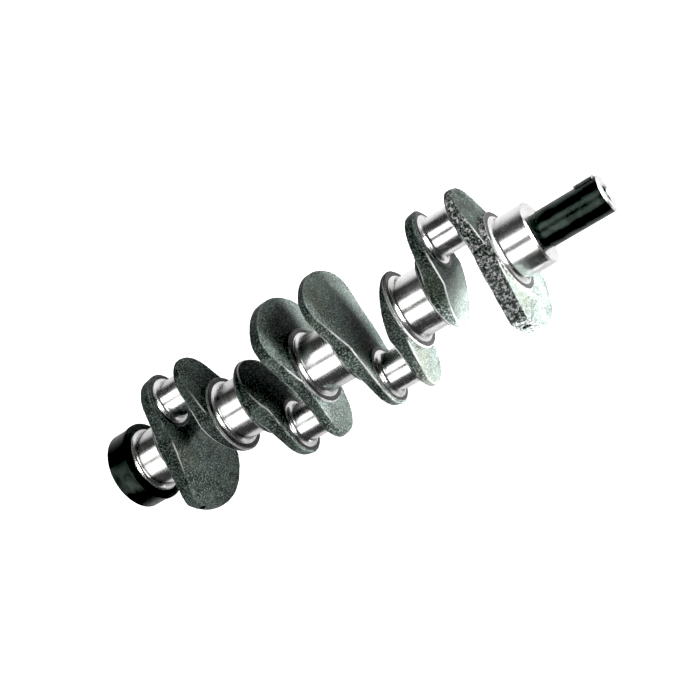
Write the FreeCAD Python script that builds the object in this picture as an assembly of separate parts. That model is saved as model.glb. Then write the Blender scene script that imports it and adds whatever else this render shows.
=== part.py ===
"""Four-throw, flat-plane, five-bearing crankshaft with its nose key, dowel and pilot bearing.

Millimetres.  +X runs along the crank's axis, towards the nose.  Crankpins 1 and 4 stand
towards +Y, crankpins 2 and 3 towards -Y, and +Z is up with the crank lying on its side.
The origin is on the axis, at the middle of main journal 3.  Cylinder 1 is at the nose.

The forging is one piece of steel.  It is written as its natural regions (flange, journals,
crankpins, webs and nose), which meet face to face and never overlap.
"""
import FreeCAD, Part
import math
import os

V = FreeCAD.Vector
ALONG_CRANK = V(1, 0, 0)

# ---- driving dimensions: the running gear ------------------------------------------------
BORE_PITCH = 100.0
THROW = 40.0
MAIN_RADIUS = 28.0
PIN_RADIUS = 18.25
MAIN_WIDTH = 30.0
CENTRE_MAIN_WIDTH = 37.0
FRONT_MAIN_TRIM = 0.5
REAR_MAIN_EXTRA = 1.5
PIN_WIDTH = 28.5
MAIN_FILLET = 3.5
PIN_FILLET = 4.5
MAIN_FRONT_CHAMFER = 1.5

# ---- webs and counterweights -------------------------------------------------------------
PAD_HEIGHT = 1.5
MAIN_PAD_RADIUS = 36.0
PIN_PAD_RADIUS = 26.0
MAIN_END_RADIUS = 37.0
PIN_END_RADIUS = 28.0
# The draft of the forging: each round end is smaller on the face away from its own journal.
PIN_END_TAPER = 3.5
MAIN_END_TAPER = 4.5
HEEL_SLOPE = 0.33
HEEL_START = 8.0
# How far each web's main face falls away per millimetre towards its crankpin end.
SHOULDER_SLOPES = {1: 0.16, 2: 0.14, 3: 0.20, 4: 0.10, 5: 0.10, 6: 0.16, 7: 0.20, 8: 0.10}
# Half the angle that each counterweight spans about the crank's axis.
WEIGHT_HALF_ANGLES = {1: 50.0, 4: 45.0, 5: 53.0, 8: 52.0}
WEIGHT_RADII = {1: 68.0, 4: 70.0, 5: 70.5, 8: 68.5}
WEIGHT_CORNERS = {1: 9.0, 4: 18.0, 5: 18.0, 8: 9.0}
# Radius of the circle round the main journal that each counterweight's flanks touch.
WAIST_RADII = {1: 36.0, 4: 30.0, 5: 34.0, 8: 35.0}
# How far each counterweight's faces fall away per millimetre towards its rim, on the side of
# the main journal and on the side of the crankpin.  The two middle weights lean to the rear.
WEIGHT_SLOPES = {1: (0.02, 0.03), 4: (-0.02, 0.14), 5: (0.08, -0.01), 8: (0.08, 0.08)}
OVERHANG = 4.0
LARGEST_RADIUS = 72.0
BALANCED_WEBS = (1, 8)
BALANCE_HOLE_RADIUS = 3.5
BALANCE_HOLE_DEPTH = 14.0
BALANCE_HOLE_ANGLE = 38.0

# ---- oilways -----------------------------------------------------------------------------
OILWAY_RADIUS = 2.5
MAIN_OIL_HOLE_RADIUS = 3.0
OIL_MOUTH_ANGLE = 55.0

# ---- rear flange -------------------------------------------------------------------------
FLANGE_RADIUS = 38.0
FLANGE_LENGTH = 26.0
FLANGE_CHAMFER = 1.5
THROWER_RADIUS = 39.0
THROWER_WIDTH = 2.5
THROWER_SETBACK = 2.5
THROWER_EASE = 0.5
FLANGE_FRONT_STEP = 1.0
FLANGE_PAD_RADIUS = MAIN_RADIUS + MAIN_FILLET + 3.0
FLANGE_BOLT_COUNT = 6
FLANGE_BOLT_CIRCLE_RADIUS = 28.0
FLANGE_BOLT_RADIUS = 4.25
FLANGE_BOLT_DEPTH = 18.0
DOWEL_RADIUS = 4.0
DOWEL_LENGTH = 18.0
DOWEL_STAND_OUT = 8.0
DOWEL_ANGLE = 210.0
DOWEL_CHAMFER = 1.0
PILOT_RELIEF_RADIUS = 10.0
PILOT_RELIEF_DEPTH = 8.0

# ---- pilot bearing, 15 x 35 x 11 ---------------------------------------------------------
BEARING_OUTER_RADIUS = 17.5
BEARING_BORE_RADIUS = 7.5
BEARING_WIDTH = 11.0
BEARING_RECESS = 1.0
INNER_LAND_RADIUS = 10.6
OUTER_LAND_RADIUS = 14.4
BALL_COUNT = 8
BALL_CIRCLE_RADIUS = 12.5
BALL_RADIUS = 2.95
RACE_CLEARANCE = 0.05
CAGE_HALF_WIDTH = 3.9
CAGE_HALF_THICKNESS = 0.8
CAGE_POCKET_CLEARANCE = 0.1
SHIELD_THICKNESS = 0.5
SHIELD_RECESS = 0.3
SHIELD_GAP = 0.3

# ---- nose --------------------------------------------------------------------------------
NOSE_RADIUS = 16.25
NOSE_LENGTH = 61.5
NOSE_UNDERCUT = 0.8
NOSE_UNDERCUT_WIDTH = 4.0
NOSE_CHAMFER = 1.2
NOSE_THREAD_RADIUS = 5.1
NOSE_THREAD_DEPTH = 26.0
NOSE_COUNTERSINK_RADIUS = 8.5
KEY_WIDTH = 6.0
KEY_LENGTH = 18.0
KEY_STAND_OUT = 1.5
KEY_SINK = 3.5
KEY_END_GAP = 2.5

# ---- positions that follow ---------------------------------------------------------------
MAIN_CENTRES = [BORE_PITCH * (2 - number) for number in range(5)]
PIN_CENTRES = [BORE_PITCH * (1.5 - number) for number in range(4)]
PIN_SIDES = [1, -1, -1, 1]
FRONT_END_OF_MAINS = MAIN_CENTRES[0] + MAIN_WIDTH / 2 - FRONT_MAIN_TRIM
REAR_END_OF_MAINS = MAIN_CENTRES[4] - MAIN_WIDTH / 2 - REAR_MAIN_EXTRA
FLANGE_REAR = REAR_END_OF_MAINS - FLANGE_LENGTH
NOSE_END = FRONT_END_OF_MAINS + NOSE_LENGTH


def save(shape, name):
    """Write one node."""
    shape.exportStep("parts/" + name + ".step")


def cylinder(radius, start, end, y=0.0, z=0.0):
    """Return a round bar along X between two stations."""
    return Part.makeCylinder(radius, end - start, V(start, y, z), ALONG_CRANK)


def turned(profile):
    """Revolve a closed (x, radius) polygon about the crank's axis."""
    points = [V(x, radius, 0) for x, radius in profile]
    outline = Part.makePolygon(points + points[:1])
    return Part.Face(outline).revolve(V(0, 0, 0), ALONG_CRANK, 360)


def prism(wire, start, end):
    """Extrude a closed wire, drawn at X = 0, between two stations along X."""
    solid = Part.Face(wire).extrude(V(end - start, 0, 0))
    return solid.translated(V(start, 0, 0))


# ---- journals and crankpins --------------------------------------------------------------
def fillet_arc(x, radius, fillet, side):
    """Return the concave corner arc where a journal runs up into a web pad."""
    foot = V(x - side * fillet, radius, 0)
    top = V(x, radius + fillet, 0)
    diagonal = fillet * math.sqrt(0.5)
    middle = V(x - side * (fillet - diagonal), radius + fillet - diagonal, 0)
    return Part.Arc(foot, middle, top).toShape(), foot, top


def journal(radius, fillet, start, end, throw=0.0, free_front=False):
    """Return a ground journal with a fillet at each web, or a chamfer at a free front end."""
    rear_arc, rear_foot, rear_top = fillet_arc(start, radius, fillet, -1)
    edges = [rear_arc]
    if free_front:
        front_foot = V(end - MAIN_FRONT_CHAMFER, radius, 0)
        front_top = V(end, radius - MAIN_FRONT_CHAMFER, 0)
        edges.append(Part.makeLine(front_foot, front_top))
    else:
        front_arc, front_foot, front_top = fillet_arc(end, radius, fillet, 1)
        edges.append(front_arc)
    edges.append(Part.makeLine(rear_foot, front_foot))
    edges.append(Part.makeLine(front_top, V(end, 0, 0)))
    edges.append(Part.makeLine(V(end, 0, 0), V(start, 0, 0)))
    edges.append(Part.makeLine(V(start, 0, 0), rear_top))
    wire = Part.Wire(Part.__sortEdges__(edges))
    solid = Part.Face(wire).revolve(V(0, 0, 0), ALONG_CRANK, 360)
    return solid.translated(V(0, throw, 0))


def oilway(main_centre, pin_centre, side):
    """Return the slanted drilling from a crankpin's surface down into its main journal."""
    angle = math.radians(OIL_MOUTH_ANGLE)
    reach = PIN_RADIUS + 6.0
    mouth = V(pin_centre, side * (THROW + reach * math.cos(angle)), -reach * math.sin(angle))
    root = V(main_centre, 0, 0)
    return Part.makeCylinder(OILWAY_RADIUS, (mouth - root).Length, root, mouth - root)


def main_oil_hole(main_centre):
    """Return the drilling from below into the middle of a main journal, where the oilway starts."""
    reach = MAIN_RADIUS + 2.0
    overrun = MAIN_OIL_HOLE_RADIUS + 1.0
    return Part.makeCylinder(MAIN_OIL_HOLE_RADIUS, reach + overrun, V(main_centre, 0, -reach),
                             V(0, 0, 1))


# ---- webs --------------------------------------------------------------------------------
def tangent_points(near, near_radius, far, far_radius):
    """Return the upper touching points of the line that hugs two circles centred on Y."""
    lean = math.asin((near_radius - far_radius) / abs(far - near))
    towards = 1 if far > near else -1
    along, across = towards * math.sin(lean), math.cos(lean)
    first = V(0, near + near_radius * along, near_radius * across)
    second = V(0, far + far_radius * along, far_radius * across)
    return first, second


def mirrored(point):
    """Return the point's twin below the throw's own plane."""
    return V(point.x, point.y, -point.z)


def arm_outline(x, side, main_end_radius, pin_end_radius):
    """Return the oval of a web: a large round end at the main and a smaller one at the pin."""
    first, second = tangent_points(0, main_end_radius, side * THROW, pin_end_radius)
    heel = V(0, -side * main_end_radius, 0)
    toe = V(0, side * (THROW + pin_end_radius), 0)
    wire = Part.Wire([
        Part.Arc(mirrored(first), heel, first).toShape(),
        Part.makeLine(first, second),
        Part.Arc(second, toe, mirrored(second)).toShape(),
        Part.makeLine(mirrored(second), mirrored(first)),
    ])
    return wire.translated(V(x, 0, 0))


def weight_outline(number, side):
    """Return a counterweight's fan: straight flanks that touch its waist, and a round rim."""
    half_angle = math.radians(WEIGHT_HALF_ANGLES[number])
    radius, waist = WEIGHT_RADII[number], WAIST_RADII[number]
    corner = V(0, -side * radius * math.cos(half_angle), radius * math.sin(half_angle))
    rim = V(0, -side * radius, 0)
    bearing = math.pi - half_angle - math.acos(waist / radius)
    touch = V(0, side * waist * math.cos(bearing), waist * math.sin(bearing))
    return Part.Wire([
        Part.makeLine(touch, corner),
        Part.Arc(corner, rim, mirrored(corner)).toShape(),
        Part.makeLine(mirrored(corner), mirrored(touch)),
        Part.makeLine(mirrored(touch), touch),
    ])


def rim_corners(fan, radius):
    """Return the two edges along X where a counterweight's flanks meet its rim."""
    corners = []
    for edge in fan.Edges:
        first, second = [vertex.Point for vertex in edge.Vertexes]
        on_rim = math.hypot(first.y, first.z) > radius - 1
        if on_rim and (second - first).cross(ALONG_CRANK).Length < 0.001:
            corners.append(edge)
    return corners


def side_slab(main_plane, pin_plane, side, main_recess, pin_recess):
    """Return the slab between a web's two faces, each drawn by its recess at a throw height.

    main_recess and pin_recess are lists of (height along the throw, depth below the pad plane).
    """
    across = 1 if pin_plane > main_plane else -1
    points = [V(main_plane + across * depth, side * height, 0) for height, depth in main_recess]
    points += [V(pin_plane - across * depth, side * height, 0) for height, depth in pin_recess]
    outline = Part.makePolygon(points + points[:1])
    thick = 2 * LARGEST_RADIUS
    return Part.Face(outline).extrude(V(0, 0, thick)).translated(V(0, 0, -thick / 2))


def balance_hole(number, middle, side):
    """Return the radial drilling in the rim of an end counterweight."""
    angle = math.radians(BALANCE_HOLE_ANGLE)
    outwards = V(0, -side * math.cos(angle), math.sin(angle))
    start = V(middle, 0, 0) + outwards * (WEIGHT_RADII[number] - BALANCE_HOLE_DEPTH)
    return Part.makeCylinder(BALANCE_HOLE_RADIUS, BALANCE_HOLE_DEPTH + 2, start, outwards)


def web(number, main_plane, pin_plane, side):
    """Return one crank web between a main journal's pad plane and a crankpin's."""
    weighted = number in WEIGHT_SLOPES
    low, high = -LARGEST_RADIUS, LARGEST_RADIUS
    shoulder = SHOULDER_SLOPES[number]
    if weighted:
        main_slope, pin_slope = WEIGHT_SLOPES[number]
        main_face = [(low, PAD_HEIGHT - main_slope * low), (0, PAD_HEIGHT),
                     (high, PAD_HEIGHT + shoulder * high)]
        pin_face = [(high, PAD_HEIGHT), (0, PAD_HEIGHT), (low, PAD_HEIGHT - pin_slope * low)]
    else:
        low = -MAIN_END_RADIUS - 1
        heel_depth = PAD_HEIGHT + HEEL_SLOPE * (HEEL_START - low)
        main_face = [(low, PAD_HEIGHT), (0, PAD_HEIGHT), (high, PAD_HEIGHT + shoulder * high)]
        pin_face = [(high, PAD_HEIGHT), (HEEL_START, PAD_HEIGHT), (low, heel_depth)]
    flat_main = [(low, 0), (high, 0)]
    flat_pin = [(high, 0), (low, 0)]
    start, end = min(main_plane, pin_plane), max(main_plane, pin_plane)
    arm = Part.makeLoft([
        arm_outline(main_plane, side, MAIN_END_RADIUS, PIN_END_RADIUS - PIN_END_TAPER),
        arm_outline(pin_plane, side, MAIN_END_RADIUS - MAIN_END_TAPER, PIN_END_RADIUS),
    ], True, True)
    blank = arm
    if weighted:
        fan = prism(weight_outline(number, side), start - OVERHANG, end + OVERHANG)
        corners = rim_corners(fan, WEIGHT_RADII[number])
        blank = arm.fuse(fan.makeFillet(WEIGHT_CORNERS[number], corners))
    solid = blank.common(side_slab(main_plane, pin_plane, side, main_face, pin_face))
    main_pad = cylinder(MAIN_PAD_RADIUS, start, end).common(arm)
    solid = solid.fuse(main_pad.common(
        side_slab(main_plane, pin_plane, side, flat_main, pin_face)))
    pin_pad = cylinder(PIN_PAD_RADIUS, start, end, side * THROW).common(arm)
    solid = solid.fuse(pin_pad.common(
        side_slab(main_plane, pin_plane, side, main_face, flat_pin)))
    if number in BALANCED_WEBS:
        solid = solid.cut(balance_hole(number, (start + end) / 2, side))
    return solid.removeSplitter()


def build_forging():
    """Write the journals, crankpins and webs."""
    drillings = [oilway(*places) for places in zip(MAIN_CENTRES, PIN_CENTRES, PIN_SIDES)]
    oil_holes = [main_oil_hole(centre) for centre in MAIN_CENTRES]

    main_ends = []
    for number, centre in enumerate(MAIN_CENTRES):
        width = CENTRE_MAIN_WIDTH if number == 2 else MAIN_WIDTH
        main_ends.append([centre - width / 2, centre + width / 2])
    main_ends[0][1] = FRONT_END_OF_MAINS
    main_ends[4][0] = REAR_END_OF_MAINS

    for number, (start, end) in enumerate(main_ends):
        solid = journal(MAIN_RADIUS, MAIN_FILLET, start, end, free_front=number == 0)
        solid = solid.cut(oil_holes[number])
        if number < 4:
            solid = solid.cut(drillings[number])
        save(solid, "main_journal_%d" % (number + 1))

    for number, centre in enumerate(PIN_CENTRES):
        start, end = centre - PIN_WIDTH / 2, centre + PIN_WIDTH / 2
        solid = journal(PIN_RADIUS, PIN_FILLET, start, end, PIN_SIDES[number] * THROW)
        save(solid.cut(drillings[number]), "crankpin_%d" % (number + 1))

    for number in range(8):
        pin = number // 2
        main = (number + 1) // 2
        pin_half = PIN_WIDTH / 2
        if number % 2 == 0:
            main_plane = main_ends[main][0]
            pin_plane = PIN_CENTRES[pin] + pin_half
        else:
            main_plane = main_ends[main][1]
            pin_plane = PIN_CENTRES[pin] - pin_half
        solid = web(number + 1, main_plane, pin_plane, PIN_SIDES[pin])
        if number % 2 == 0:
            solid = solid.cut(drillings[pin])
        save(solid, "web_%d" % (number + 1))


# ---- rear flange, dowel and pilot bearing ------------------------------------------------
def around_flange(radius, count, first_angle):
    """Return the (y, z) places of evenly spaced holes round the flange."""
    places = []
    for number in range(count):
        angle = math.radians(first_angle + 360.0 * number / count)
        places.append((radius * math.cos(angle), radius * math.sin(angle)))
    return places


def rear_flange():
    """Return the flywheel flange with its oil thrower lip, bolt holes and bearing seat."""
    front = REAR_END_OF_MAINS
    thrower_front = front - THROWER_SETBACK
    thrower_rear = thrower_front - THROWER_WIDTH
    solid = turned([
        (FLANGE_REAR, 0),
        (FLANGE_REAR, FLANGE_RADIUS - FLANGE_CHAMFER),
        (FLANGE_REAR + FLANGE_CHAMFER, FLANGE_RADIUS),
        (thrower_rear, FLANGE_RADIUS),
        (thrower_rear, THROWER_RADIUS),
        (thrower_front, THROWER_RADIUS),
        (thrower_front + THROWER_EASE, FLANGE_RADIUS - FLANGE_FRONT_STEP),
        (front - FLANGE_FRONT_STEP, FLANGE_RADIUS - FLANGE_FRONT_STEP),
        (front - FLANGE_FRONT_STEP, FLANGE_PAD_RADIUS),
        (front, FLANGE_PAD_RADIUS),
        (front, 0),
    ])
    seat_end = FLANGE_REAR + BEARING_RECESS + BEARING_WIDTH
    solid = solid.cut(cylinder(BEARING_OUTER_RADIUS, FLANGE_REAR - 1, seat_end))
    solid = solid.cut(cylinder(PILOT_RELIEF_RADIUS, FLANGE_REAR, seat_end + PILOT_RELIEF_DEPTH))
    for y, z in around_flange(FLANGE_BOLT_CIRCLE_RADIUS, FLANGE_BOLT_COUNT, 0):
        hole = cylinder(FLANGE_BOLT_RADIUS, FLANGE_REAR - 1, FLANGE_REAR + FLANGE_BOLT_DEPTH, y, z)
        solid = solid.cut(hole)
    y, z = around_flange(FLANGE_BOLT_CIRCLE_RADIUS, 1, DOWEL_ANGLE)[0]
    dowel_end = FLANGE_REAR + DOWEL_LENGTH - DOWEL_STAND_OUT
    return solid.cut(cylinder(DOWEL_RADIUS, FLANGE_REAR - 1, dowel_end, y, z))


def flywheel_dowel():
    """Return the dowel that sets the flywheel's angle, with a small lead at its free end."""
    y, z = around_flange(FLANGE_BOLT_CIRCLE_RADIUS, 1, DOWEL_ANGLE)[0]
    start = FLANGE_REAR - DOWEL_STAND_OUT
    solid = cylinder(DOWEL_RADIUS, start, start + DOWEL_LENGTH, y, z)
    free_edges = [edge for edge in solid.Edges if edge.BoundBox.XMax < start + 0.01]
    return solid.makeChamfer(DOWEL_CHAMFER, free_edges)


def ring(inner_radius, outer_radius, start, end):
    """Return a flat-sided ring along X."""
    return cylinder(outer_radius, start, end).cut(cylinder(inner_radius, start - 1, end + 1))


def build_pilot_bearing():
    """Write the shielded ball bearing that carries a gearbox input shaft's spigot."""
    start = FLANGE_REAR + BEARING_RECESS
    end = start + BEARING_WIDTH
    middle = (start + end) / 2
    groove = Part.makeTorus(BALL_CIRCLE_RADIUS, BALL_RADIUS + RACE_CLEARANCE,
                            V(middle, 0, 0), ALONG_CRANK)
    outer = ring(OUTER_LAND_RADIUS, BEARING_OUTER_RADIUS, start, end).cut(groove)
    inner = ring(BEARING_BORE_RADIUS, INNER_LAND_RADIUS, start, end).cut(groove)
    save(outer, "pilot_bearing_outer_ring")
    save(inner, "pilot_bearing_inner_ring")

    cage = ring(BALL_CIRCLE_RADIUS - CAGE_HALF_THICKNESS, BALL_CIRCLE_RADIUS + CAGE_HALF_THICKNESS,
                middle - CAGE_HALF_WIDTH, middle + CAGE_HALF_WIDTH)
    balls = []
    for y, z in around_flange(BALL_CIRCLE_RADIUS, BALL_COUNT, 0):
        centre = V(middle, y, z)
        cage = cage.cut(Part.makeSphere(BALL_RADIUS + CAGE_POCKET_CLEARANCE, centre))
        balls.append(Part.makeSphere(BALL_RADIUS, centre))
    save(cage, "pilot_bearing_cage")
    save(Part.makeCompound(balls), "pilot_bearing_balls")

    shields = []
    for face, inwards in ((start, 1), (end, -1)):
        first = face + inwards * SHIELD_RECESS
        second = first + inwards * SHIELD_THICKNESS
        shields.append(ring(INNER_LAND_RADIUS + SHIELD_GAP, OUTER_LAND_RADIUS,
                            min(first, second), max(first, second)))
    save(Part.makeCompound(shields), "pilot_bearing_shields")


# ---- nose and its key --------------------------------------------------------------------
def key_shape(clearance=0.0):
    """Return the round-ended key on the nose, in line with crankpin 1."""
    half_width = KEY_WIDTH / 2
    rear = NOSE_END - KEY_END_GAP - KEY_LENGTH + half_width
    front = NOSE_END - KEY_END_GAP - half_width
    bottom = NOSE_RADIUS - KEY_SINK
    height = KEY_SINK + KEY_STAND_OUT + clearance
    middle = Part.makeBox(front - rear, height, KEY_WIDTH, V(rear, bottom, -half_width))
    ends = [Part.makeCylinder(half_width, height, V(x, bottom, 0), V(0, 1, 0))
            for x in (rear, front)]
    return middle.fuse(ends).removeSplitter()


def front_nose():
    """Return the nose: root undercut, ground snout, keyway and threaded centre hole."""
    start = FRONT_END_OF_MAINS
    snout = start + NOSE_UNDERCUT_WIDTH
    solid = turned([
        (start, 0),
        (start, NOSE_RADIUS - NOSE_UNDERCUT),
        (snout, NOSE_RADIUS - NOSE_UNDERCUT),
        (snout + 0.5, NOSE_RADIUS),
        (NOSE_END - NOSE_CHAMFER, NOSE_RADIUS),
        (NOSE_END, NOSE_RADIUS - NOSE_CHAMFER),
        (NOSE_END, 0),
    ])
    hole = turned([
        (NOSE_END - NOSE_THREAD_DEPTH, 0),
        (NOSE_END - NOSE_THREAD_DEPTH, NOSE_THREAD_RADIUS),
        (NOSE_END - (NOSE_COUNTERSINK_RADIUS - NOSE_THREAD_RADIUS), NOSE_THREAD_RADIUS),
        (NOSE_END, NOSE_COUNTERSINK_RADIUS),
        (NOSE_END + 1, NOSE_COUNTERSINK_RADIUS),
        (NOSE_END + 1, 0),
    ])
    return solid.cut(hole).cut(key_shape(clearance=1.0))


def main():
    """Write every node of the crankshaft."""
    os.makedirs("parts", exist_ok=True)
    build_forging()
    save(rear_flange(), "rear_flange")
    save(flywheel_dowel(), "flywheel_dowel")
    build_pilot_bearing()
    save(front_nose(), "front_nose")
    save(key_shape(), "nose_key")


main()
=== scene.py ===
"""Looks of the crankshaft: forged webs, ground journals, blackened flange and keyed nose.

Metres, in the part's own frame: +X along the crank towards the nose, +Z up, origin on the axis at
the middle of main journal 3.  The CAD parts keep their places; the webs are rebuilt here as
forgings with rounded edges, and every surface gets its own node material.
"""
import math

import bmesh
import bpy
import numpy as np
from mathutils import Matrix, Vector, noise


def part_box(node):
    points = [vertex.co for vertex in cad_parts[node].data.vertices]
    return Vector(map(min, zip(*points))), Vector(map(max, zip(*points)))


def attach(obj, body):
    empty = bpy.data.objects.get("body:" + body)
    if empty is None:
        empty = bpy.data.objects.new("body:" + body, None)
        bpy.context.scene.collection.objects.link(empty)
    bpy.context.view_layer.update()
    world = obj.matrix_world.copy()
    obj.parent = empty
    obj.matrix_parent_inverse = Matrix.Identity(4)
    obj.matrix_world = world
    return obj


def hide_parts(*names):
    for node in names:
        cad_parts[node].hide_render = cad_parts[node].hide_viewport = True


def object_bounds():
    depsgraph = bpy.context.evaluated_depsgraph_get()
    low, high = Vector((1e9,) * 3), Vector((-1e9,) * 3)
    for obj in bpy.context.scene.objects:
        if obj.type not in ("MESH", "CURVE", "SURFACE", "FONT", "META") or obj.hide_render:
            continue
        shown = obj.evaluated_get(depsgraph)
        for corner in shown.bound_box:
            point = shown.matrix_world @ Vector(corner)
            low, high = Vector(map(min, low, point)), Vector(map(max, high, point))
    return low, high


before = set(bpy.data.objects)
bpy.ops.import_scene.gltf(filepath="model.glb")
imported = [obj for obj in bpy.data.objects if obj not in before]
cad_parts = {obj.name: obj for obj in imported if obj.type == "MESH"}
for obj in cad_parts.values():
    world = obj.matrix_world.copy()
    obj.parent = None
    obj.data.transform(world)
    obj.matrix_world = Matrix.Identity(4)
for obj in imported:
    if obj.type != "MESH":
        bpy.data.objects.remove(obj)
cad_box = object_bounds()
scene = bpy.context.scene

# ---- camera ------------------------------------------------------------------------------
CAMERA_PLACE = (0.4644, 0.1451, 0.9621)
CAMERA_RIGHT = (0.78300, -0.55630, -0.27827)
CAMERA_UP = (0.46058, 0.81920, -0.34172)
CAMERA_BACK = (0.41806, 0.13940, 0.89766)
CAMERA_LENS = 63.395
CAMERA_SENSOR = 36.0

# ---- studio ------------------------------------------------------------------------------
FLOOR_DROP = 0.14
FLOOR_SIZE = 6.0
FLOOR_GLOW = 0.9
ROOM_GLOW = 0.05
ROOM_WHITE = 0.95
TONE_BLACK = 0.016
WHITE = (1.0, 1.0, 1.0)
SHADING_TINT = (1.0, 0.95, 0.99)

# ---- forged webs -------------------------------------------------------------------------
MM = 0.001
WELD = 0.002 * MM
THROW = 40.0 * MM
MAIN_PAD_RADIUS = 36.0 * MM
PIN_PAD_RADIUS = 26.0 * MM
PAD_DEPTH = 1.3 * MM
PAD_ROUNDING = 0.12
PAD_RIM_FADE = 0.4 * MM
PAD_FACE_FADE = (0.35 * MM, 0.7 * MM)
VOXEL = 0.7 * MM
ROUNDING_FACTOR = 0.5
ROUNDING_STEPS = 7
SKIN_GAIN = 0.45 * MM
CROWN = 0.6
LUMP_HEIGHT = 0.16 * MM
LUMPS_PER_METRE = 90
GRIT_HEIGHT = 0.06 * MM
GRITS_PER_METRE = 400
RIM_LUMP_HEIGHT = 0.9 * MM
RIM_LUMPS_PER_METRE = 240
# Within the first radius round a main journal the convex edges are lightened in full, partly as rubbed
# bare steel and partly as a painted highlight; by the second radius this has faded.
WAIST_WEAR_AND_HIGHLIGHT_RADIUS = 38 * MM
FADED_WEAR_AND_HIGHLIGHT_RADIUS = 52 * MM
WEB_COUNT = 8
PIN_SIDES = (1, -1, -1, 1)
ROUGH_RIM_WEB = 1

# ---- nose --------------------------------------------------------------------------------
NOSE_BRIGHT_LENGTH = 1.1 * MM


# ---- small node helpers ------------------------------------------------------------------
class Nodes:
    """Builds a node tree by short calls, each of which returns an output socket."""

    def __init__(self, tree):
        self.tree = tree
        self.tree.nodes.clear()

    def add(self, kind, **inputs):
        node = self.tree.nodes.new(kind)
        for name, value in inputs.items():
            setattr(node, name, value)
        return node

    def link(self, value, socket):
        if isinstance(value, bpy.types.NodeSocket):
            self.tree.links.new(value, socket)
        else:
            socket.default_value = value

    def math(self, operation, a, b=0.0, clamp=False):
        node = self.add("ShaderNodeMath", operation=operation, use_clamp=clamp)
        self.link(a, node.inputs[0])
        self.link(b, node.inputs[1])
        return node.outputs[0]

    def position(self):
        return self.add("ShaderNodeTexCoord").outputs["Object"]

    def split(self, vector):
        node = self.add("ShaderNodeSeparateXYZ")
        self.link(vector, node.inputs[0])
        return node.outputs

    def scaled(self, vector, x, y, z):
        node = self.add("ShaderNodeMapping")
        self.link(vector, node.inputs["Vector"])
        node.inputs["Scale"].default_value = (x, y, z)
        return node.outputs[0]

    def combined(self, x, y):
        node = self.add("ShaderNodeCombineXYZ")
        self.link(x, node.inputs[0])
        self.link(y, node.inputs[1])
        return node.outputs[0]

    def noise(self, vector, scale, detail=4.0, rough=0.55, distortion=0.0):
        node = self.add("ShaderNodeTexNoise")
        self.link(vector, node.inputs["Vector"])
        node.inputs["Scale"].default_value = scale
        node.inputs["Detail"].default_value = detail
        node.inputs["Roughness"].default_value = rough
        node.inputs["Distortion"].default_value = distortion
        return node.outputs["Fac"]

    def ramp(self, value, low, high, start=0.0, end=1.0):
        """Map value from low..high to start..end, smoothly and clamped."""
        node = self.add("ShaderNodeMapRange", interpolation_type="SMOOTHSTEP")
        self.link(value, node.inputs["Value"])
        node.inputs["From Min"].default_value = low
        node.inputs["From Max"].default_value = high
        node.inputs["To Min"].default_value = start
        node.inputs["To Max"].default_value = end
        return node.outputs["Result"]

    def mix(self, factor, a, b):
        node = self.add("ShaderNodeMix", data_type="RGBA")
        self.link(factor, node.inputs["Factor"])
        self.link(a, node.inputs["A"])
        self.link(b, node.inputs["B"])
        return node.outputs["Result"]

    def bump(self, height, depth, strength=1.0, normal=None):
        node = self.add("ShaderNodeBump")
        self.link(height, node.inputs["Height"])
        node.inputs["Distance"].default_value = depth
        node.inputs["Strength"].default_value = strength
        if normal is not None:
            self.link(normal, node.inputs["Normal"])
        return node.outputs[0]

    def radius(self, parts, centre_y=0.0):
        """Distance of the point from a line along X through (centre_y, 0)."""
        across = self.math("SUBTRACT", parts["Y"], centre_y)
        total = self.math("ADD", self.math("POWER", across, 2.0),
                          self.math("POWER", parts["Z"], 2.0))
        return self.math("SQRT", total)

    def finish(self, colour, metallic, roughness, normal, specular=0.5):
        shader = self.add("ShaderNodeBsdfPrincipled")
        self.link(colour, shader.inputs["Base Color"])
        self.link(metallic, shader.inputs["Metallic"])
        self.link(roughness, shader.inputs["Roughness"])
        self.link(normal, shader.inputs["Normal"])
        shader.inputs["Specular IOR Level"].default_value = specular
        output = self.add("ShaderNodeOutputMaterial")
        self.tree.links.new(shader.outputs[0], output.inputs["Surface"])


def grey(value, warm=0.0):
    """A grey with a slight olive cast when warm is above 0."""
    return (value * (1 - warm * 0.4), value, value * (1 - warm), 1.0)


def scale_tint(value):
    """The green-grey of oiled forging scale."""
    return (value * 0.80, value, value * 0.89, 1.0)


def new_material(name):
    material = bpy.data.materials.new(name)
    material.use_nodes = True
    return material, Nodes(material.node_tree)


# ---- materials ---------------------------------------------------------------------------
def ground_steel(name, light=0.78, dark=0.60, low_rough=0.17, high_rough=0.30, line_depth=0.002):
    """Ground and polished journal: fine rings round the axis, faint stains, bright."""
    material, n = new_material(name)
    place = n.position()
    rings = n.noise(n.scaled(place, 1.0, 0.012, 0.012), 5200.0, 3.0, 0.7)
    stain = n.noise(place, 38.0, 5.0, 0.6, 0.6)
    smear = n.noise(n.scaled(place, 0.35, 1.0, 1.0), 150.0, 4.0, 0.6)
    colour = n.mix(n.ramp(stain, 0.42, 0.72), grey(light), grey(dark, 0.05))
    rough = n.ramp(n.math("ADD", n.math("MULTIPLY", smear, 0.6), n.math("MULTIPLY", rings, 0.4)),
                   0.35, 0.65, low_rough, high_rough)
    n.finish(colour, 1.0, rough, n.bump(rings, line_depth * MM, 0.6))
    return material


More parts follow.
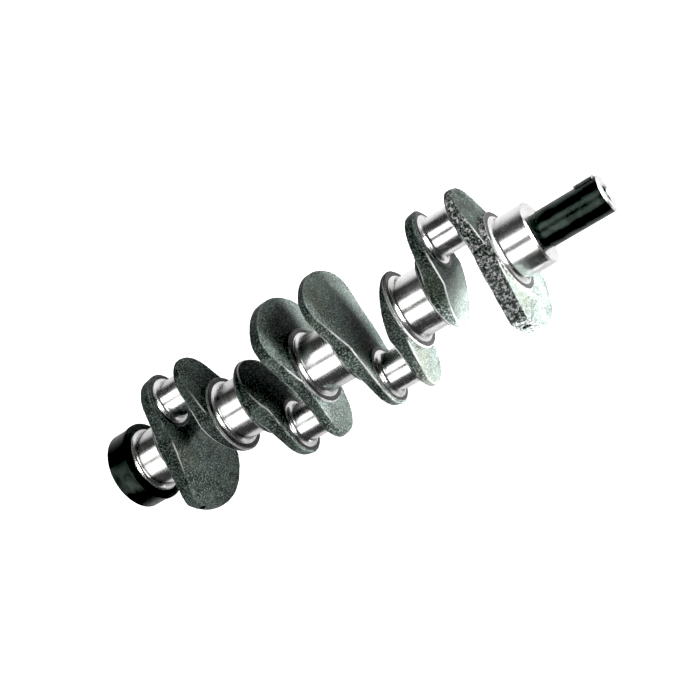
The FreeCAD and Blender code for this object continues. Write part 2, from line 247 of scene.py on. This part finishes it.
def forged_steel(name, pin_side, main_plane, pin_plane, rough_rim):
    """As-forged web: dark oily scale, mottled, with machined pads; convex edges and the waist are
    lightened, partly as rubbed bare steel and partly as a painted highlight.
    """
    material, n = new_material(name)
    place = n.position()
    parts = n.split(place)
    mottle = n.noise(place, 55.0, 6.0, 0.62, 0.4)
    grain = n.noise(place, 620.0, 3.0, 0.6)
    pits = n.noise(place, 1900.0, 2.0, 0.5)
    patch = n.noise(place, 17.0, 3.0, 0.5)
    colour = n.mix(n.ramp(mottle, 0.36, 0.68), scale_tint(0.011), scale_tint(0.050))
    colour = n.mix(n.ramp(grain, 0.47, 0.66, 0.0, 0.9), colour, scale_tint(0.15))
    colour = n.mix(n.ramp(pits, 0.30, 0.46, 0.8, 0.0), colour, scale_tint(0.008))
    colour = n.mix(n.ramp(patch, 0.55, 0.75, 0.0, 0.35), colour, (0.036, 0.033, 0.020, 1.0))

    # Convex edges are lightened by pointiness, broken up by noise: partly rubbed bare steel, partly a
    # painted highlight along the crests and the waist.
    convexity = n.add("ShaderNodeNewGeometry").outputs["Pointiness"]
    wear_and_highlight_breakup = n.noise(place, 19.0, 4.0, 0.6)
    edge_wear_and_highlight = n.math("MULTIPLY", n.ramp(convexity, 0.505, 0.536), n.ramp(wear_and_highlight_breakup, 0.40, 0.56, 0.0, 0.9))
    from_main = n.radius(parts)
    from_pin = n.radius(parts, pin_side * THROW)
    edge_wear_and_highlight = n.math("MULTIPLY", edge_wear_and_highlight, n.ramp(from_main, WAIST_WEAR_AND_HIGHLIGHT_RADIUS, FADED_WEAR_AND_HIGHLIGHT_RADIUS, 1.0, 0.08))
    flecks = n.noise(place, 380.0, 4.0, 0.65, 0.5)
    if rough_rim:
        facing = n.split(n.add("ShaderNodeNewGeometry").outputs["Normal"])["X"]
        rim = n.ramp(n.math("ABSOLUTE", facing), 0.35, 0.75, 1.0, 0.0)
        bare = n.math("MULTIPLY", rim, n.ramp(flecks, 0.50, 0.60))
        edge_wear_and_highlight = n.math("MAXIMUM", edge_wear_and_highlight, n.math("MULTIPLY", bare, 0.9))
    # Painted highlight on convex edges and the waist, mixed with rubbed bare steel and the rough rim's
    # bare flecks.
    colour = n.mix(edge_wear_and_highlight, colour, grey(0.42))

    main_pad = pad_mask(n, parts, from_main, MAIN_PAD_RADIUS, main_plane)
    pin_pad = pad_mask(n, parts, from_pin, PIN_PAD_RADIUS, pin_plane)
    machined = n.math("MAXIMUM", main_pad, pin_pad)
    turning = n.noise(n.combined(from_main, from_pin), 2600.0, 2.0, 0.6)
    colour = n.mix(machined, colour, n.mix(n.ramp(turning, 0.4, 0.65), grey(0.022, 0.1), grey(0.10)))

    blotch = n.math("ADD", n.math("MULTIPLY", mottle, 0.6), n.math("MULTIPLY", grain, 0.4))
    rough = n.ramp(blotch, 0.35, 0.65, 0.34, 0.56)
    rough = n.math("MULTIPLY", rough, n.ramp(machined, 0.0, 1.0, 1.0, 0.8))
    coarse = n.bump(mottle, 0.5 * MM, 0.5)
    if rough_rim:
        coarse = n.bump(n.math("MULTIPLY", rim, flecks), 3.0 * MM, 0.9, coarse)
    fine = n.bump(n.math("ADD", grain, n.math("MULTIPLY", pits, 0.5)), 0.35 * MM, 0.9, coarse)
    metal = n.ramp(n.math("MAXIMUM", machined, edge_wear_and_highlight), 0.0, 1.0, 0.0, 0.9)
    n.finish(colour, metal, rough, fine, specular=0.05)
    return material


def pad_mask(n, parts, distance, pad_radius, plane):
    """1 on the flat machined ring round a journal, 0 elsewhere."""
    inside = n.ramp(distance, pad_radius - PAD_RIM_FADE, pad_radius, 1.0, 0.0)
    off_plane = n.math("ABSOLUTE", n.math("SUBTRACT", parts["X"], plane))
    return n.math("MULTIPLY", inside, n.ramp(off_plane, *PAD_FACE_FADE, 1.0, 0.0))


def turned_black(name, colour_low, colour_high, low_rough, high_rough, bright_after=None):
    """Dark turned steel with rings round the axis; bright beyond a station along X if given."""
    material, n = new_material(name)
    place = n.position()
    rings = n.noise(n.scaled(place, 1.0, 0.02, 0.02), 2600.0, 3.0, 0.65)
    film = n.noise(place, 70.0, 5.0, 0.6, 0.5)
    grain = n.noise(place, 900.0, 2.0, 0.5)
    colour = n.mix(n.ramp(film, 0.35, 0.7), colour_low, colour_high)
    if bright_after is not None:
        station = n.split(place)["X"]
        colour = n.mix(n.ramp(station, bright_after - 0.1 * MM, bright_after), colour, grey(0.72))
    rough = n.ramp(film, 0.3, 0.7, low_rough, high_rough)
    height = n.math("ADD", rings, n.math("MULTIPLY", grain, 0.3))
    n.finish(colour, 1.0, rough, n.bump(height, 0.006 * MM, 0.6))
    return material


def bright_small(name, light, low_rough, high_rough, scale):
    """Small bright or brushed steel part."""
    material, n = new_material(name)
    place = n.position()
    film = n.noise(place, scale, 4.0, 0.6)
    grain = n.noise(place, scale * 12, 2.0, 0.5)
    colour = n.mix(n.ramp(film, 0.35, 0.7), grey(light), grey(light * 0.72, 0.06))
    n.finish(colour, 1.0, n.ramp(film, 0.3, 0.7, low_rough, high_rough),
             n.bump(grain, 0.004 * MM, 0.6))
    return material


# ---- forged webs -------------------------------------------------------------------------
def link_object(name, mesh):
    piece = bpy.data.objects.new(name, mesh)
    scene.collection.objects.link(piece)
    return piece


def apply_modifiers(piece):
    """Replace a piece's mesh by its modified one."""
    graph = bpy.context.evaluated_depsgraph_get()
    result = bpy.data.meshes.new_from_object(piece.evaluated_get(graph))
    piece.modifiers.clear()
    old = piece.data
    piece.data = result
    bpy.data.meshes.remove(old)


def forged_web(number):
    """A web rebuilt from the CAD solid: edges rounded as a die leaves them, faces lumpy."""
    node = "web_%d" % number
    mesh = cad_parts[node].data.copy()
    shell = bmesh.new()
    shell.from_mesh(mesh)
    bmesh.ops.remove_doubles(shell, verts=shell.verts, dist=WELD)
    shell.to_mesh(mesh)
    shell.free()
    piece = link_object("forged_web_%d" % number, mesh)
    remesh = piece.modifiers.new("skin", "REMESH")
    remesh.mode = "VOXEL"
    remesh.voxel_size = VOXEL
    remesh.use_smooth_shade = True
    apply_modifiers(piece)

    pin = (number - 1) // 2
    side = PIN_SIDES[pin]
    main = number // 2 + 1
    main_plane = journal_plane("main_journal_%d" % main, number % 2 == 1)
    pin_plane = journal_plane("crankpin_%d" % (pin + 1), number % 2 == 0)
    points = vertex_array(piece.data, "co")
    group = piece.vertex_groups.new(name="forged")
    from_main = np.hypot(points[:, 1], points[:, 2])
    from_pin = np.hypot(points[:, 1] - side * THROW, points[:, 2])
    machined = (((from_main < MAIN_PAD_RADIUS + VOXEL)
                 & (np.abs(points[:, 0] - main_plane) < PAD_DEPTH))
                | ((from_pin < PIN_PAD_RADIUS + VOXEL)
                   & (np.abs(points[:, 0] - pin_plane) < PAD_DEPTH)))
    group.add([int(i) for i in np.nonzero(~machined)[0]], 1.0, "REPLACE")
    group.add([int(i) for i in np.nonzero(machined)[0]], PAD_ROUNDING, "REPLACE")
    smooth = piece.modifiers.new("die_rounding", "SMOOTH")
    smooth.factor = ROUNDING_FACTOR
    smooth.iterations = ROUNDING_STEPS
    smooth.vertex_group = "forged"
    apply_modifiers(piece)

    lump_surface(piece.data, machined, number == ROUGH_RIM_WEB)
    piece.data.polygons.foreach_set("use_smooth", [True] * len(piece.data.polygons))
    piece.data.materials.clear()
    piece.data.materials.append(forged_steel("forged_%d" % number, side, main_plane, pin_plane,
                                             number == ROUGH_RIM_WEB))
    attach(piece, "crankshaft")
    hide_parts(node)


def journal_plane(node, rear):
    """The station of a journal's rear or front end."""
    low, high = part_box(node)
    return low.x if rear else high.x


def vertex_array(mesh, kind):
    """The places ("co") or normals ("normal") of a mesh's vertices, one to a row."""
    values = np.zeros(len(mesh.vertices) * 3)
    mesh.vertices.foreach_get(kind, values)
    return values.reshape(-1, 3)


def lump_surface(mesh, machined, rough_rim):
    """Give the forged skin gentle lumps, crowned faces and rims as full as the CAD's, in its box.

    Rounding takes SKIN_GAIN off the rims, so they are moved out by it again.  A rough rim, trimmed
    from the flash, has deeper lumps.
    """
    points = vertex_array(mesh, "co")
    normals = vertex_array(mesh, "normal")
    for index in np.nonzero(~machined)[0]:
        place = Vector(points[index])
        sink = LUMP_HEIGHT * noise.noise(place * LUMPS_PER_METRE) - SKIN_GAIN
        sink += GRIT_HEIGHT * noise.noise(place * GRITS_PER_METRE)
        facing = max(0.0, abs(normals[index][0]) - 0.5) * 2
        sink += facing * (CROWN * place.z * place.z + SKIN_GAIN)
        if rough_rim:
            rim = 1 - min(1.0, abs(normals[index][0]) * 1.6)
            sink += rim * RIM_LUMP_HEIGHT * (0.4 + noise.noise(place * RIM_LUMPS_PER_METRE))
        points[index] -= normals[index] * sink
    for axis in (1, 2):
        points[:, axis] = points[:, axis].clip(cad_box[0][axis], cad_box[1][axis])
    mesh.vertices.foreach_set("co", points.ravel())
    mesh.update()


# ---- studio ------------------------------------------------------------------------------
def build_camera():
    data = bpy.data.cameras.new("camera")
    data.sensor_width = CAMERA_SENSOR
    data.lens = CAMERA_LENS
    data.clip_start = 0.01
    data.clip_end = 50
    camera = link_object("camera", data)
    turn = Matrix((CAMERA_RIGHT, CAMERA_UP, CAMERA_BACK)).transposed().to_4x4()
    camera.matrix_world = Matrix.Translation(CAMERA_PLACE) @ turn
    scene.camera = camera


def build_floor():
    """A pale floor that shows as plain white behind the part."""
    floor = bmesh.new()
    bmesh.ops.create_grid(floor, x_segments=8, y_segments=8, size=FLOOR_SIZE / 2)
    mesh = bpy.data.meshes.new("floor")
    floor.to_mesh(mesh)
    floor.free()
    piece = link_object("floor", mesh)
    piece.location.z = cad_box[0][2] - FLOOR_DROP
    material, n = new_material("pale_floor")
    place = n.position()
    grain = n.noise(place, 300.0, 2.0)
    shader = n.add("ShaderNodeBsdfPrincipled")
    n.link(n.mix(grain, grey(0.52), grey(0.56)), shader.inputs["Base Color"])
    shader.inputs["Roughness"].default_value = 0.8
    shader.inputs["Emission Color"].default_value = (1, 1, 1, 1)
    seen = n.add("ShaderNodeLightPath").outputs["Is Camera Ray"]
    n.link(n.math("MULTIPLY", seen, FLOOR_GLOW), shader.inputs["Emission Strength"])
    output = n.add("ShaderNodeOutputMaterial")
    n.tree.links.new(shader.outputs[0], output.inputs["Surface"])
    mesh.materials.append(material)


def softbox(name, place, aim, size, radiance, spread=180, shading_only=False):
    """A rectangular soft light of an even radiance, facing its aim, with its spread in degrees.

    A shading-only light doesn't show in the polished journals, and is tinted against the green cast
    of the forging scale.
    """
    size_x, size_y = size
    light = bpy.data.lights.new(name, "AREA")
    light.shape = "RECTANGLE"
    light.size = size_x
    light.size_y = size_y
    light.energy = radiance * math.pi * size_x * size_y
    light.spread = math.radians(spread)
    light.color = SHADING_TINT if shading_only else WHITE
    lamp = link_object(name, light)
    lamp.visible_camera = False
    lamp.visible_glossy = not shading_only
    back = (Vector(place) - Vector(aim)).normalized()
    along = Vector((1, 0, 0)) if abs(back.x) < 0.7 else Vector((0, 0, 1))
    across = back.cross(along).normalized()
    along = across.cross(back).normalized()
    turn = Matrix((along, across, back)).transposed().to_4x4()
    lamp.matrix_world = Matrix.Translation(place) @ turn


def build_light():
    """A white room that gives little light itself, and softboxes above, in front, beside and behind."""
    world = bpy.data.worlds.new("studio")
    scene.world = world
    world.use_nodes = True
    n = Nodes(world.node_tree)
    ray = n.add("ShaderNodeLightPath").outputs["Is Camera Ray"]
    colour = n.mix(ray, grey(ROOM_GLOW), grey(ROOM_WHITE))
    background = n.add("ShaderNodeBackground")
    n.link(colour, background.inputs["Color"])
    output = n.add("ShaderNodeOutputWorld")
    n.tree.links.new(background.outputs[0], output.inputs["Surface"])
    softbox("softbox_far", (-0.55, 0.62, 0.95), (-0.1, 0, 0), (1.2, 0.62), 2.4)
    softbox("softbox_near", (-0.55, -0.33, 1.15), (-0.1, 0, 0), (1.2, 0.85), 2.4)
    softbox("softbox_front", (0.36, -0.31, -0.05), (0.17, -0.04, -0.01), (0.2, 0.2), 44,
            spread=52, shading_only=True)
    softbox("softbox_nose", (0.95, 0.10, 0.12), (0, 0, 0), (1.0, 0.5), 17)
    softbox("softbox_rear", (-1.05, -0.20, 0.22), (0, 0, 0), (0.7, 0.5), 10)
    softbox("softbox_side", (-0.12, -0.90, -0.10), (0.05, -0.03, -0.02), (0.3, 0.22), 26,
            shading_only=True)


def set_tone():
    """Plain tones with deep shadows."""
    scene.view_settings.view_transform = "Standard"
    scene.view_settings.use_curve_mapping = True
    tone = scene.view_settings.curve_mapping
    tone.black_level = (TONE_BLACK, TONE_BLACK, TONE_BLACK)
    tone.update()


def paint(node, material):
    """Give a CAD part its material."""
    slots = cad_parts[node].data.materials
    slots.clear()
    slots.append(material)


def main():
    set_tone()
    journal_steel = ground_steel("journal_steel")
    for number in range(1, 6):
        paint("main_journal_%d" % number, journal_steel)
    pin_steel = ground_steel("crankpin_steel", 0.76, 0.58)
    for number in range(1, 5):
        paint("crankpin_%d" % number, pin_steel)
    for number in range(1, WEB_COUNT + 1):
        forged_web(number)
    paint("rear_flange", turned_black("flange_black", scale_tint(0.014), scale_tint(0.038), 0.24, 0.42))
    bright_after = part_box("front_nose")[1].x - NOSE_BRIGHT_LENGTH
    paint("front_nose", turned_black("nose_black", scale_tint(0.030), scale_tint(0.085), 0.22, 0.36,
                                     bright_after))
    paint("nose_key", bright_small("key_steel", 0.07, 0.25, 0.40, 300.0))
    paint("flywheel_dowel", bright_small("dowel_steel", 0.60, 0.14, 0.28, 300.0))
    ring = bright_small("bearing_steel", 0.66, 0.10, 0.22, 240.0)
    for node in ("pilot_bearing_outer_ring", "pilot_bearing_inner_ring", "pilot_bearing_balls"):
        paint(node, ring)
    paint("pilot_bearing_cage", bright_small("cage_steel", 0.45, 0.22, 0.38, 260.0))
    paint("pilot_bearing_shields", bright_small("shield_steel", 0.52, 0.25, 0.42, 220.0))
    build_camera()
    build_floor()
    build_light()


main()
